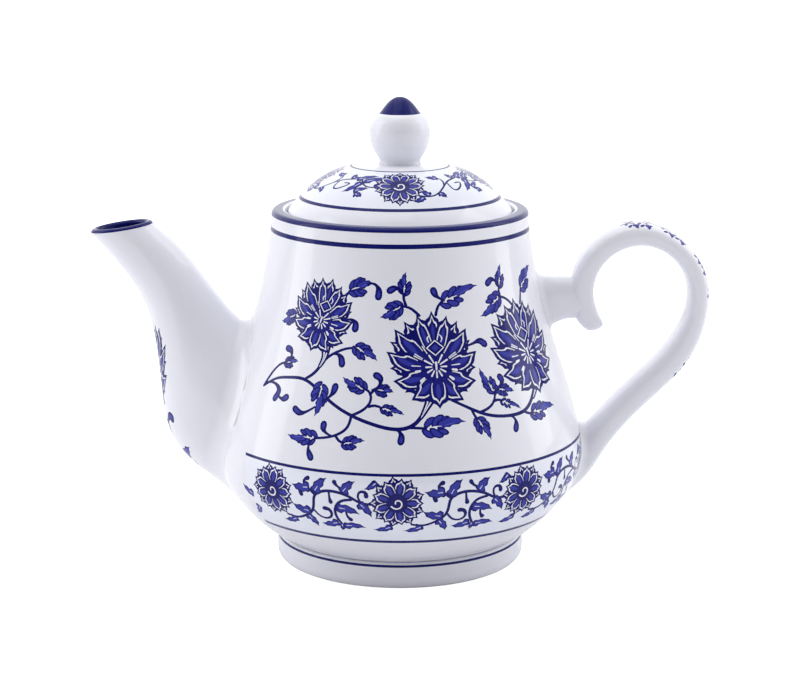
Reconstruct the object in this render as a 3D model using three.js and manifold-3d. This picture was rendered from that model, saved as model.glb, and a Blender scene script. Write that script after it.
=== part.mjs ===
// A glazed porcelain teapot with a side spout, a scroll handle and a lift-off lid.
// Millimetres, +Z up. The origin is on the pot's axis, in the plane that the foot stands on.
// The spout points along -X and the handle along +X.
import * as THREE from "three";
import { mergeVertices } from "three/addons/utils/BufferGeometryUtils.js";
import Module from "manifold-3d";

const wasm = await Module();
wasm.setup();

// Driving dimensions.
const REACH = 112; // spout tip and handle back, from the pot's axis
const WALL = 4; // pot wall
const GAP = 0.3; // left between two clay pieces that are luted together
const SEAT_GAP = 0.2; // left between the lid and the ledge that it rests on
const FOOT_TOP = 10; // height of the foot ring
const RIM_TOP = 129.4;
const LEDGE = 126.6; // ledge inside the rim, which carries the lid
const THROAT = 37.2; // radius of the opening inside the ledge
const GALLERY = 41.2; // radius of the rim's inner wall, above the ledge
const LID_UNDER = LEDGE + SEAT_GAP;
const DOME_TOP = 145.5; // where the knob stands on the lid
const KNOB_BORE = 5; // radius of the hole from the lid into the hollow knob
const SPOUT_WALL = 2.6;
const STRAINER_R = 13; // radius of the hole in the pot's wall behind the spout
const STRAINER_Z = 52;
const STRAINER_TILT = THREE.MathUtils.degToRad(14); // the wall leans in towards the top
const STRAINER_HOLE = 1.5; // radius of each hole pierced in the strainer
const VENT = { radius: 1.4, behind: 13.5 }; // steam hole through the lid, behind the knob
const TURN = 40; // facets round the pot
const SECTION = 16; // facets round the spout and the handle

const glaze = (colour) =>
  new THREE.MeshStandardMaterial({ color: colour, roughness: 0.12, metalness: 0 });
const WHITE_GLAZE = glaze(0xeceef6);
const BARE_CLAY = new THREE.MeshStandardMaterial({ color: 0xe6e1d6, roughness: 0.8 });

const v2 = (list) => list.map(([x, y]) => new THREE.Vector2(x, y));
const smooth = (list, steps) => new THREE.SplineCurve(v2(list)).getPoints(steps);

// A closed geometry as a manifold-3d solid, turned right side out if need be.
function solid(geometry) {
  const bare = geometry.clone();
  for (const name of Object.keys(bare.attributes))
    if (name !== "position") bare.deleteAttribute(name);
  const merged = mergeVertices(bare, 1e-4);
  const build = (triVerts) =>
    new wasm.Manifold(
      new wasm.Mesh({ numProp: 3, vertProperties: merged.attributes.position.array, triVerts }),
    );
  const faces = new Uint32Array(merged.index.array);
  const made = build(faces);
  return made.volume() > 0 ? made : build(faces.toReversed());
}

function mesh(name, shape, material) {
  const { vertProperties, triVerts } = shape.getMesh();
  const geometry = new THREE.BufferGeometry();
  geometry.setAttribute("position", new THREE.BufferAttribute(vertProperties, 3));
  geometry.setIndex(new THREE.BufferAttribute(triVerts, 1));
  geometry.computeVertexNormals();
  const made = new THREE.Mesh(geometry, material);
  made.name = name;
  return made;
}

// A profile of [radius, height] points turned about +Z.
const turned = (points, facets = TURN) =>
  solid(new THREE.LatheGeometry(points, facets).rotateX(Math.PI / 2));

// A bent, tapering bar in the XZ plane. Its section at each step spans the two edge curves,
// and is a superellipse whose half-width across Y comes from halfWidth(t).
function bent({ upper, lower, halfWidth, steps, grow = 0, power = 2 }) {
  const rail = (list) =>
    new THREE.CatmullRomCurve3(list.map(([x, z]) => new THREE.Vector3(x, 0, z)));
  const [top, under] = [rail(upper), rail(lower)];
  const bar = new THREE.CylinderGeometry(1, 1, 1, SECTION, steps);
  const place = bar.attributes.position;
  const square = (c) => Math.sign(c) * Math.abs(c) ** (2 / power);
  for (let i = 0; i < place.count; i++) {
    const t = THREE.MathUtils.clamp(0.5 - place.getY(i), 0, 1);
    const [a, b] = [top.getPoint(t), under.getPoint(t)];
    const middle = a.clone().add(b).multiplyScalar(0.5);
    const half = a.clone().sub(b).multiplyScalar(0.5);
    const along = half.clone().normalize();
    const reach = square(place.getX(i)) * (half.length() + grow);
    middle.addScaledVector(along, reach);
    place.setXYZ(i, middle.x, square(place.getZ(i)) * (halfWidth(t) + grow), middle.z);
  }
  return solid(bar);
}

// ---- Pot ----

// Outside of the pot, from where it leaves the foot ring up to just under the rim.
const POT_OUTSIDE = [
  [45, FOOT_TOP + GAP],
  [50.4, 14.2],
  [56.6, 20],
  [61.9, 26.5],
  [65.6, 33.5],
  [67.1, 41],
  [66, 49],
  [63.6, 58],
  [59.9, 70],
  [54.9, 85],
  [50.7, 100],
  [47.8, 115],
  [46.4, 127],
];
const outside = smooth(POT_OUTSIDE, 20);

// Radius of the pot's outside at a height.
function potRadius(z) {
  const k = outside.findIndex((p) => p.y >= z);
  if (k < 1) return outside[k < 0 ? outside.length - 1 : 0].x;
  const [a, b] = [outside[k - 1], outside[k]];
  return THREE.MathUtils.mapLinear(z, a.y, b.y, a.x, b.x);
}

function potWall() {
  const inside = smooth(
    [
      [THROAT, 124.5],
      [43, 118.5],
      ...[108, 92, 76, 60, 48, 40].map((z) => [potRadius(z) - WALL - 0.2, z]),
      [60.6, 31],
      [54, 21.5],
      [44, 14.6],
      [24, 11.2],
      [0, 10.5],
    ],
    14,
  );
  return turned([
    ...v2([[0, 5.5], [36.6, 5.5], [37.4, FOOT_TOP + GAP]]),
    ...outside,
    ...v2([[46.1, RIM_TOP - 0.9], [45.3, RIM_TOP], [42.1, RIM_TOP]]),
    ...v2([[GALLERY, RIM_TOP - 0.8], [GALLERY, LEDGE], [THROAT, LEDGE]]),
    ...inside,
  ]);
}

// The pot's outside pushed out by the luting gap, which trims whatever joins the pot.
const potTrim = () =>
  turned([
    new THREE.Vector2(0, FOOT_TOP),
    ...outside.map((p) => new THREE.Vector2(p.x + GAP * 1.3, p.y)),
    new THREE.Vector2(0, 127),
  ]);

function footRing() {
  const corner = 1.9;
  const outer = 45.2;
  const rounded = [90, 67, 45, 22, 0].map((deg) => {
    const a = THREE.MathUtils.degToRad(deg);
    return [outer - corner + corner * Math.cos(a), corner - corner * Math.sin(a)];
  });
  return turned(
    v2([
      [39.4, 0],
      ...rounded,
      [outer + 0.2, 6],
      [outer - 0.2, FOOT_TOP - 0.6],
      [outer - 0.7, FOOT_TOP],
      [38, FOOT_TOP],
      [38.2, 1.4],
      [39.4, 0],
    ]),
  );
}

// Turns a shape made about +Z so that it points out through the wall behind the spout.
function towardsSpout(shape) {
  const toSpout = new THREE.Euler(0, -Math.PI / 2 + STRAINER_TILT, 0);
  const at = new THREE.Vector3(-potRadius(STRAINER_Z), 0, STRAINER_Z);
  const turn = new THREE.Quaternion().setFromEuler(toSpout);
  const m = new THREE.Matrix4().compose(at, turn, new THREE.Vector3(1, 1, 1));
  return shape.transform(m.elements);
}

const wallHole = () =>
  towardsSpout(solid(new THREE.CylinderGeometry(STRAINER_R, STRAINER_R, 30, 32).rotateX(Math.PI / 2)));

// A pierced dome that bulges into the pot, so that leaves can't seal it flat.
function strainer() {
  const rimR = STRAINER_R - GAP;
  const thick = 2.2;
  const bulge = 7;
  const cap = (r, depth) =>
    [0, 22, 45, 67, 90].map((deg) => {
      const a = THREE.MathUtils.degToRad(deg);
      return [r * Math.sin(a), -1.2 - depth * Math.cos(a)];
    });
  let dome = turned(
    v2([
      ...cap(rimR, bulge + 2.2),
      [rimR, 0],
      [rimR - thick, 0],
      ...cap(rimR - thick, bulge).reverse(),
    ]),
    24,
  );
  const drill = (ring, turnDeg) => {
    const hole = new THREE.CylinderGeometry(STRAINER_HOLE, STRAINER_HOLE, 24, 6).rotateX(Math.PI / 2);
    const a = THREE.MathUtils.degToRad(turnDeg);
    hole.translate(ring * Math.cos(a), ring * Math.sin(a), -12);
    return solid(hole);
  };
  const rings = [
    [0, 1],
    [4, 6],
    [7.8, 12],
  ];
  for (const [ring, count] of rings)
    for (let k = 0; k < count; k++) dome = dome.subtract(drill(ring, (360 * k) / count));
  return towardsSpout(dome);
}

// ---- Spout ----

const SPOUT_TOP_EDGE = [
  [-88.2, 125],
  [-79.6, 115],
  [-71.3, 104.4],
  [-63.4, 94.2],
  [-54.5, 87.2],
  [-43, 84],
];
const SPOUT_UNDER_EDGE = [
  [-REACH, 120.8],
  [-98.2, 104.6],
  [-90.2, 87],
  [-87.2, 62],
  [-78.6, 38],
  [-44, 14],
];
const SPOUT_HALF_WIDTH = [10.4, 10.6, 12.2, 15.6, 19.6, 22];

// A value that runs smoothly through a list, for t from 0 to 1.
function along(list, t) {
  const points = list.map((v, i) => new THREE.Vector2(i, v));
  return new THREE.SplineCurve(points).getPoint(t).y;
}

const spoutSpan = { upper: SPOUT_TOP_EDGE, lower: SPOUT_UNDER_EDGE };
const spoutTube = (grow) =>
  bent({ ...spoutSpan, steps: 14, grow, halfWidth: (t) => along(SPOUT_HALF_WIDTH, t) });

function spout(trim) {
  // The channel starts just outside the mouth, so that it opens it.
  const [[tx, tz], [ux, uz]] = [SPOUT_TOP_EDGE[0], SPOUT_UNDER_EDGE[0]];
  const mouthLift = ([x, z]) => [x - 1.5, z + 6];
  const channel = bent({
    upper: [mouthLift([tx, tz]), ...SPOUT_TOP_EDGE],
    lower: [mouthLift([ux, uz]), ...SPOUT_UNDER_EDGE],
    steps: 16,
    grow: -SPOUT_WALL,
    halfWidth: (t) => along([10.4, ...SPOUT_HALF_WIDTH], t),
  });
  return spoutTube(0).subtract(channel).subtract(trim);
}

// ---- Handle ----

// The scroll runs from the tip of its curl, up round the loop and down to its tail.
// Its outer edge is the one away from the finger opening.
const SCROLL_OUTER = [
  [67.6, 84.9],
  [62.6, 91.4],
  [61.7, 101],
  [65.2, 111.8],
  [73.8, 120.7],
  [86.4, 124.3],
  [99.6, 119.6],
  [109.4, 108.6],
  [REACH, 95],
  [108.2, 79.6],
  [99.4, 66.8],
  [87.2, 54.8],
  [75.4, 40.6],
  [65.6, 27],
  [44, 13],
];
const SCROLL_INNER = [
  [73, 85.6],
  [71.4, 91.6],
  [70.3, 99.4],
  [72.6, 107.6],
  [79, 113.7],
  [87.4, 115.8],
  [96, 113],
  [102.4, 105.8],
  [104.3, 96.4],
  [101.2, 85.6],
  [92.6, 74],
  [81.4, 63.2],
  [71.6, 52.6],
  [62.4, 46.8],
  [44, 44],
];
const SCROLL_HALF_WIDTH = [3.6, 5.6, 6.8, 7.6, 7.9, 8, 8, 8, 8, 8, 7.9, 7.8, 8, 8.6, 9.6];

const scrollBar = (grow) =>
  bent({
    upper: SCROLL_OUTER,
    lower: SCROLL_INNER,
    steps: 36,
    grow,
    power: 2.4,
    halfWidth: (t) => along(SCROLL_HALF_WIDTH, t),
  });

// The short bar that holds the scroll off the pot.
function bracket(trim) {
  const bar = bent({
    upper: [[44, 105.6], [52, 104.5], [58, 104.3], [66, 104.4]],
    lower: [[44, 83], [54, 86.3], [59.4, 88.6], [66, 89]],
    steps: 10,
    power: 2.6,
    halfWidth: (t) => along([7.6, 6.5, 6.1, 6.2], t),
  });
  return bar.subtract(trim).subtract(scrollBar(GAP));
}

// ---- Lid ----

const LID_EDGE = 40.4;
const FLANGE_OUTER = 36.5;
const FLANGE_INNER = 33.6;
const FLANGE_DEPTH = 8;

function lidDome() {
  const top = smooth(
    [
      [17.8, 144.7],
      [25, 142.3],
      [31.2, 138.5],
      [35.6, 134.3],
      [39, 130.6],
      [LID_EDGE, 128.6],
    ],
    8,
  ).reverse();
  const under = smooth(
    [
      [FLANGE_INNER, LID_UNDER],
      [33, 130],
      [29, 134.8],
      [22, 138.8],
      [13, 141.4],
      [KNOB_BORE, 142],
    ],
    7,
  );
  const dome = turned([
    ...v2([[39.7, LID_UNDER]]),
    ...v2([[LID_EDGE, LID_UNDER + 0.8]]),
    ...top,
    ...v2([[10, DOME_TOP], [KNOB_BORE, DOME_TOP]]),
    ...under.reverse(),
    ...v2([[39.7, LID_UNDER]]),
  ]);
  const vent = new THREE.CylinderGeometry(VENT.radius, VENT.radius, 12, 16).rotateX(Math.PI / 2);
  return dome.subtract(solid(vent.translate(0, VENT.behind, DOME_TOP - 3.5)));
}

const lidFlange = () =>
  turned(
    v2([
      [FLANGE_OUTER, LID_UNDER - GAP],
      [FLANGE_INNER, LID_UNDER - GAP],
      [FLANGE_INNER, LID_UNDER - FLANGE_DEPTH + 0.6],
      [FLANGE_INNER + 0.6, LID_UNDER - FLANGE_DEPTH],
      [FLANGE_OUTER - 0.9, LID_UNDER - FLANGE_DEPTH],
      [FLANGE_OUTER - 0.2, LID_UNDER - FLANGE_DEPTH + 0.8],
      [FLANGE_OUTER, LID_UNDER - GAP],
    ]),
  );

function lidKnob() {
  const base = DOME_TOP + GAP;
  const ball = smooth(
    [
      [7.4, base],
      [8.6, 148.4],
      [10.2, 152.2],
      [10.9, 156.4],
      [10.4, 160.2],
      [8.4, 163],
    ],
    8,
  );
  const tip = smooth([[7.2, 163.8], [5.4, 166.2], [3.3, 168.2], [0, 169.4]], 4);
  const hollow = smooth([[0, 162], [4.6, 160.4], [7, 156.2], [6.2, 150.6], [KNOB_BORE, base]], 6);
  return turned([...hollow, ...ball, ...tip].reverse(), 24);
}

// ---- Assembly ----

const trim = potTrim();
const pot = new THREE.Group();
pot.add(
  mesh("pot_wall", potWall().subtract(wallHole()), WHITE_GLAZE),
  mesh("foot_ring", footRing(), BARE_CLAY),
  mesh("strainer", strainer(), WHITE_GLAZE),
  mesh("spout", spout(trim), WHITE_GLAZE),
  mesh("handle_scroll", scrollBar(0).subtract(trim), WHITE_GLAZE),
  mesh("handle_bracket", bracket(trim), WHITE_GLAZE),
);
const lid = new THREE.Group();
lid.add(
  mesh("lid_dome", lidDome(), WHITE_GLAZE),
  mesh("lid_flange", lidFlange(), WHITE_GLAZE),
  mesh("lid_knob", lidKnob(), WHITE_GLAZE),
);
const teapot = new THREE.Group();
teapot.add(pot, lid);
export default teapot;
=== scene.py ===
"""Blender looks for the blue-and-white porcelain teapot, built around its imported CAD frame.

Lengths are in mm until a mesh is made. A bearing is an angle round the pot's axis in degrees: 0 faces the
camera, 90 is the handle and -90 the spout. The printed pattern is cut into each clay piece's own mesh, so
that every printed shape has a sharp edge and a glaze of its own.
"""

import math

import bpy
import numpy as np
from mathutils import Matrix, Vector
from mathutils.geometry import delaunay_2d_cdt


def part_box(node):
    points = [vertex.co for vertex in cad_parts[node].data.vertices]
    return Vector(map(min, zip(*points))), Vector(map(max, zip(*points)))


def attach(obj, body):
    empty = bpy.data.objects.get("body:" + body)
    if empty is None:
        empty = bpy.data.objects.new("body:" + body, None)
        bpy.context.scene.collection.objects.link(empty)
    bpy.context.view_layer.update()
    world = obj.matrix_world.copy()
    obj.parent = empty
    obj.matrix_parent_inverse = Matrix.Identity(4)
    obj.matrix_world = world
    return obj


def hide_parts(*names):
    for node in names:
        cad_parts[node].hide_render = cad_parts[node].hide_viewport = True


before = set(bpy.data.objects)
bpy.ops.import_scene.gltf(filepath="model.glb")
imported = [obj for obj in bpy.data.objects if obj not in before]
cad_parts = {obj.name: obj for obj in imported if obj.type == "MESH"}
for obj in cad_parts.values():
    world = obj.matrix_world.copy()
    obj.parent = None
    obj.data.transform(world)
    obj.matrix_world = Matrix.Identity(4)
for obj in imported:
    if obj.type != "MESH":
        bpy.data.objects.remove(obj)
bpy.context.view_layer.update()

MM = 0.001


def low(node):
    return np.array(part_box(node)[0]) / MM


def high(node):
    return np.array(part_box(node)[1]) / MM


# ---- Driving dimensions, from the frame ----

RIM_TOP = high("pot_wall")[2]
POT_UNDER = low("pot_wall")[2]
FOOT_TOP = high("foot_ring")[2]
FOOT_REACH = high("foot_ring")[0]
DOME_TOP = high("lid_dome")[2]
DOME_EDGE = high("lid_dome")[0]
DOME_UNDER = low("lid_dome")[2]
FLANGE_REACH = high("lid_flange")[0]
FLANGE_LOW = low("lid_flange")[2]
KNOB_TOP = high("lid_knob")[2]
SPOUT_TIP = low("spout")[0]
HANDLE_BACK = high("handle_scroll")[0] - 0.15
LEDGE = DOME_UNDER - 0.2

# ---- Sizes of the clay that the frame doesn't give ----

THROAT = 37.2  # radius inside the ledge that carries the lid
GALLERY = 41.2  # radius of the recess over that ledge
WALL = 4.2
SPOUT_WALL = 2.6
STEP_RADIUS, STEP_TOP = 38.0, 9.6  # where the pot's underside steps up to sit on the foot ring
BELLY_START = 43.0
FOOT_LINE = 9.1  # height of the blue line on the foot ring
FOOT_INNER, FOOT_TREAD = 38.0, 39.4  # radii of the foot ring's bore and of its inner edge on the table
FLANGE_WALL = 2.9
BORE = 5.0  # radius of the hole under the knob
LUTING = 1.5  # how far a spout or handle runs on into the wall that it joins
STRAINER = {
    "radius": 13.0, "height": 52.0, "tilt": math.radians(14), "thick": 2.2,
    "bulge": 7.0, "sunk": 1.2, "rim": 4.0,  # depths of the dome, of its edge in the hole, and of the rim
}
STRAINER_RINGS = [(0, 1), (4, 6), (7.8, 12)]  # radius of each ring of holes, and how many it has
STRAINER_HOLE = 1.5
VENT = {"radius": 1.4, "behind": 13.5}

SPREAD = 60.0  # on a turned sheet, u is the bearing in radians times this
SEAM = 90.0  # bearing at which a turned sheet starts and ends
FINE = 2.4  # spacing of mesh rows on clay that shows
COARSE = 5.0  # and on clay that hardly does
WELD = 0.001  # size of the grid on which neighbouring sheets' points become one
ON_AXIS = 1e-6  # a smaller radius is on the axis
SPECK = 0.01  # printed outlines of a smaller area, in square mm, are left out

# ---- Tones of the print and the glaze, linear RGB ----

TONES = {
    "white": (0.79, 0.795, 0.87),
    "film": (0.785, 0.806, 0.91),
    "line": (0.004, 0.005, 0.13),
    "ring": (0.004, 0.007, 0.125),
    "deep": (0.01, 0.012, 0.19),
    "mid": (0.034, 0.04, 0.34),
    "light": (0.085, 0.1, 0.46),
    "clay": (0.62, 0.58, 0.50),
}
TONE_NAMES = list(TONES)
WHITE = TONE_NAMES.index("white")


# ---- Curves ----


class Curve:
    """A natural cubic spline, with continuous curvature, through points in any number of dimensions."""

    def __init__(self, points, even=False):
        self.p = np.array(points, float)
        gaps = np.linalg.norm(np.diff(self.p, axis=0), axis=1)
        self.t = np.concatenate([[0.0], np.cumsum(np.ones(len(gaps)) if even else gaps)])
        h = np.diff(self.t)
        slope = np.diff(self.p, axis=0) / h[:, None]
        matrix = np.eye(len(self.t))
        right = np.zeros_like(self.p)
        for i in range(1, len(self.t) - 1):
            matrix[i, i - 1 : i + 2] = h[i - 1], 2 * (h[i - 1] + h[i]), h[i]
            right[i] = 6 * (slope[i] - slope[i - 1])
        self.bend = np.linalg.solve(matrix, right)

    def at(self, share):
        """Points at shares from 0 to 1 of the way along."""
        t = np.atleast_1d(share) * self.t[-1]
        i = np.clip(np.searchsorted(self.t, t, side="right") - 1, 0, len(self.t) - 2)
        h = (self.t[i + 1] - self.t[i])[:, None]
        a = (self.t[i + 1] - t)[:, None] / h
        b = 1 - a
        chord = a * self.p[i] + b * self.p[i + 1]
        return chord + ((a**3 - a) * self.bend[i] + (b**3 - b) * self.bend[i + 1]) * h**2 / 6


def smooth(points, count=80):
    return Curve(points).at(np.linspace(0, 1, count))


def circle(step):
    """Points at every so many degrees round a circle of radius 1."""
    turn = np.radians(np.arange(0, 360, step))
    return np.column_stack([np.cos(turn), np.sin(turn)])


def polar(angle, reach):
    a = math.radians(angle)
    return np.array([math.cos(a), math.sin(a)]) * reach


def lengths(points):
    """How far along a polyline each of its points is."""
    steps = np.linalg.norm(np.diff(points, axis=0), axis=1)
    return np.concatenate([[0.0], np.cumsum(steps)])


def part_of(points, start, end):
    """The stretch of a polyline between two lengths along it."""
    s = lengths(points)
    inner = points[(s > start + 1e-6) & (s < end - 1e-6)]
    ends = [[np.interp(x, s, column) for column in points.T] for x in (start, end)]
    return np.vstack([ends[0], inner, ends[1]])


def joined(stretches, closed=False):
    """One outline from (points, bend) stretches laid end to end.

    The join after a stretch is rounded over its bend, in mm of each side. Gives the outline, and the length
    along it at which each stretch starts and ends.
    """
    lines = [np.array(points, float) for points, _ in stretches]
    bends = [bend for _, bend in stretches]
    if not closed:
        bends[-1] = 0
    handle = 0.56
    steps = np.linspace(0, 1, 14)[1:-1, None]
    outline = []
    marks = []
    for k, line in enumerate(lines):
        end = lengths(line)[-1]
        before = bends[k - 1] if k or closed else 0
        body = part_of(line, before, end - bends[k])
        outline.append(body)
        marks.append(len(np.vstack(outline)))
        if not bends[k]:
            continue
        a, corner = body[-1], line[-1]
        b = part_of(lines[(k + 1) % len(lines)], bends[k], bends[k] + 1e-3)[0]
        toward_a = a + handle * (corner - a)
        toward_b = b + handle * (corner - b)
        back = 1 - steps
        arc = back**3 * a + 3 * back**2 * steps * toward_a + 3 * back * steps**2 * toward_b + steps**3 * b
        outline.append(arc)
    points = np.vstack(outline + [outline[0][:1]] if closed else outline)
    keep = np.concatenate([[True], np.linalg.norm(np.diff(points, axis=0), axis=1) > 1e-6])
    s = lengths(points)
    starts = [0.0] + [s[m] if m < len(s) else s[-1] for m in marks[:-1]]
    spans = [(start, s[m - 1]) for start, m in zip(starts, marks)]
    return points[keep], spans


# ---- Surfaces, each a map from (u, v) in mm to points and normals ----


class Turned:
    """A surface of revolution about the pot's axis. v is the length along its outline of [radius, height]."""

    def __init__(self, stretches, closed=False, gap=FINE):
        coarse, self.spans = joined(stretches, closed)
        v = lengths(coarse)
        self.v = np.unique(np.concatenate([v, np.arange(0, v[-1], 0.3)]))
        self.outline = np.column_stack([np.interp(self.v, v, column) for column in coarse.T])
        padded = np.vstack([self.outline[-2:-1], self.outline, self.outline[1:2]])
        if not closed:
            padded[0], padded[-1] = self.outline[0], self.outline[-1]
        along = padded[2:] - padded[:-2]
        along /= np.linalg.norm(along, axis=1)[:, None]
        self.normal = np.column_stack([along[:, 1], -along[:, 0]])
        for i in np.flatnonzero(self.outline[:, 0] < ON_AXIS):
            before, after = max(i - 1, 0), min(i + 1, len(self.v) - 1)
            beside = before if self.outline[before, 0] > ON_AXIS else after
            self.normal[i] = 0, math.copysign(1, self.normal[beside, 1])
        self.u_range = [math.radians(SEAM - 360) * SPREAD, math.radians(SEAM) * SPREAD]
        self.gap = gap
        self.columns = round(2 * math.pi * self.outline[:, 0].max() / gap)

    def radius(self, v):
        return np.interp(v, self.v, self.outline[:, 0])

    def stretch(self, v):
        """Surface mm to one unit of u."""
        return np.maximum(self.radius(v), 1.0) / SPREAD

    def v_where(self, column, value, span):
        """The v at which a column of the outline has a value, on a stretch where it only rises or falls."""
        v = np.linspace(*self.spans[span], 400)
        along = np.interp(v, self.v, self.outline[:, column])
        order = np.argsort(along)
        return np.interp(value, along[order], v[order])

    def v_at(self, height, span):
        return self.v_where(1, height, span)

    def spot(self, bearing, height, span):
        u = np.radians(np.asarray(bearing, float)) * SPREAD
        return np.column_stack([np.atleast_1d(u), np.atleast_1d(self.v_at(height, span))])

    def at(self, uv):
        bearing = uv[:, 0] / SPREAD
        r = self.radius(uv[:, 1])
        z = np.interp(uv[:, 1], self.v, self.outline[:, 1])
        n_r = np.interp(uv[:, 1], self.v, self.normal[:, 0])
        n_z = np.interp(uv[:, 1], self.v, self.normal[:, 1])
        side, front = np.sin(bearing), -np.cos(bearing)
        normals = np.column_stack([n_r * side, n_r * front, n_z])
        normals /= np.maximum(np.linalg.norm(normals, axis=1), 1e-9)[:, None]
        return np.column_stack([r * side, r * front, z]), normals

    def rows(self, fine_spans):
        """The v of each mesh row: close where the outline turns and on fine spans, and one at each pole."""
        on_axis = self.outline[:, 0] < ON_AXIS
        pole = on_axis & ~(np.roll(on_axis, 1) & np.roll(on_axis, -1))
        heading = np.unwrap(np.arctan2(self.normal[:, 1], self.normal[:, 0]))
        made = []
        last_v, last_heading = -99.0, 0.0
        for v, angle, kept in zip(self.v, heading, pole):
            fine = any(start - 1e-3 <= v <= end + 1e-3 for start, end in fine_spans)
            gap = self.gap if fine else COARSE
            turned = abs(angle - last_heading) > math.radians(9)
            if not (kept or turned or v - last_v >= gap or v == self.v[-1]):
                continue
            made.append(v)
            last_v, last_heading = v, angle
        return made


class Pot(Turned):
    """The pot wall, which other pieces are trimmed by."""

    BELLY = 4  # number of the outside stretch in its outline

    def outside(self, height):
        return self.radius(self.v_at(height, self.BELLY))


class Bar:
    """A bent, tapering bar in the XZ plane between a printed edge and a plain one.

    u is the angle round the section times a mean radius, 0 on the printed edge, and v the length along it.
    The section is a superellipse of a power. The far end is trimmed inside the pot's wall, and swells there
    by a fillet. The near end is rounded over the length of its tip, or cut off at its start. An inset makes
    the bar thinner all round, and a backwards one is read from its far end.
    """

    def __init__(
        self, printed, plain, half_widths, power, pot, fillet,
        tip=0.0, inset=0.0, start=0.0, backwards=False, gap=FINE,
    ):
        self.printed, self.plain = Curve(printed, even=True), Curve(plain, even=True)
        self.width = Curve([[w] for w in half_widths], even=True)
        self.power, self.pot, self.fillet, self.tip, self.inset = power, pot, fillet, tip, inset
        middle = (self.printed.at(np.linspace(0, 1, 60)) + self.plain.at(np.linspace(0, 1, 60))) / 2
        self.length = lengths(middle)[-1]
        self.start = start / self.length
        self.mean = 0.5 * (np.mean(half_widths) + np.mean(self.half_heights()))
        self.u_range = [-math.pi * self.mean, math.pi * self.mean]
        self.gap = gap
        self.columns = 4 * round(self.mean * 2 * math.pi / gap / 4)
        run = middle[31] - middle[29]
        outwards = self.printed.at(0.5)[0] - self.plain.at(0.5)[0]
        self.facing = -1 if backwards else 1
        self.hand = math.copysign(1, run[1] * outwards[0] - run[0] * outwards[1]) * self.facing
        self.cuts = self.find_cuts()

    def half_heights(self):
        shares = np.linspace(0, 1, 20)
        return np.linalg.norm(self.printed.at(shares) - self.plain.at(shares), axis=1) / 2

    def stretch(self, v):
        """Surface mm to one unit of u, at the printed edge."""
        return self.width.at(np.clip(np.atleast_1d(v) / self.length, 0, 1))[:, 0] / self.mean

    def section(self, turn, share):
        """Points on the plain bar, before trimming."""
        a, b = self.printed.at(share), self.plain.at(share)
        middle, half = (a + b) / 2, (a - b) / 2
        reach = np.linalg.norm(half, axis=1)[:, None]
        half = half / reach * (reach - self.inset)
        wide = self.width.at(share)[:, 0] - self.inset

        def square(x):
            return np.sign(x) * np.abs(x) ** (2 / self.power)

        shrink = np.ones(len(turn))
        if self.tip:
            q = np.clip(share * self.length / self.tip, 0, 1)
            shrink = np.sqrt(np.clip(1 - (1 - q) ** 2, 0, 1))
        across = (self.hand * square(np.sin(turn)) * wide * shrink)[:, None]
        up = (square(np.cos(turn)) * shrink)[:, None]
        xz = middle + half * up
        return np.column_stack([xz[:, 0], across[:, 0], xz[:, 1]])

    def beyond(self, points):
        """How far outside the pot's wall points are, measured level."""
        return np.hypot(points[:, 0], points[:, 1]) - self.pot.outside(points[:, 2])

    def find_cuts(self):
        """The share of the bar at which each line along it enters the wall, at every degree round it."""
        turn = np.radians(np.arange(-180, 181))
        near, far = np.full(361, 0.35), np.ones(361)
        for _ in range(40):
            middle = (near + far) / 2
            inside = self.beyond(self.section(turn, middle)) < -LUTING
            far = np.where(inside, middle, far)
            near = np.where(inside, near, middle)
        return np.degrees(turn), (near + far) / 2

    def trimmed(self, uv):
        turn = uv[:, 0] / self.mean
        cut = np.interp(np.degrees(turn), *self.cuts)
        share = self.start + (cut - self.start) * uv[:, 1] / self.length
        return self.section(turn, np.clip(share, 0, 1))

    def filleted(self, uv):
        points = self.trimmed(uv)
        if not self.fillet:
            return points
        normals = self.facing * normals_of(self.trimmed, uv)
        flat = points * [1, 1, 0]
        radial = flat / np.maximum(np.linalg.norm(flat, axis=1), 1e-6)[:, None]
        height = self.beyond(points)
        side = normals - radial * np.sum(normals * radial, axis=1)[:, None]
        side /= np.maximum(np.linalg.norm(side, axis=1), 1e-6)[:, None]
        left = np.clip(self.fillet - np.maximum(height, 0), 0, self.fillet)
        swell = self.fillet - np.sqrt(self.fillet**2 - left**2)
        moved = points + side * swell[:, None]
        wanted = self.pot.outside(moved[:, 2]) + height
        now = np.hypot(moved[:, 0], moved[:, 1])
        scale = np.where(swell > 1e-6, wanted / now, 1.0)
        return moved * np.column_stack([scale, scale, np.ones(len(scale))])

    def at(self, uv):
        return self.filleted(uv), normals_of(self.filleted, uv)

    def rows(self):
        """The v of each mesh row, closer at a rounded tip and in the fillet."""
        made = []
        if self.tip:
            made = [self.tip * (1 - math.cos(a)) for a in np.radians(range(0, 75, 12))]
        body_end = self.length - 3 * self.fillet
        first = made[-1] if made else 0.0
        count = max(2, round((body_end - first) / self.gap))
        body = np.linspace(first, body_end, count + 1)[1 if made else 0 :]
        root = np.linspace(body_end, self.length, max(2, round(3 * self.fillet / 0.35)))[1:]
        return [*made, *body, *root]


def normals_of(surface, uv):
    """Unit normals by small steps along u and v, one-sided at v = 0."""
    step = 0.02
    along_u = surface(uv + [step, 0]) - surface(uv - [step, 0])
    inner = np.column_stack([uv[:, 0], np.maximum(uv[:, 1] - step, 1e-4)])
    along_v = surface(uv + [0, step]) - surface(inner)
    normals = np.cross(along_u, along_v)
    return normals / np.maximum(np.linalg.norm(normals, axis=1), 1e-12)[:, None]


# ---- The print: filled outlines on a sheet's (u, v) plane ----


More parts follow.
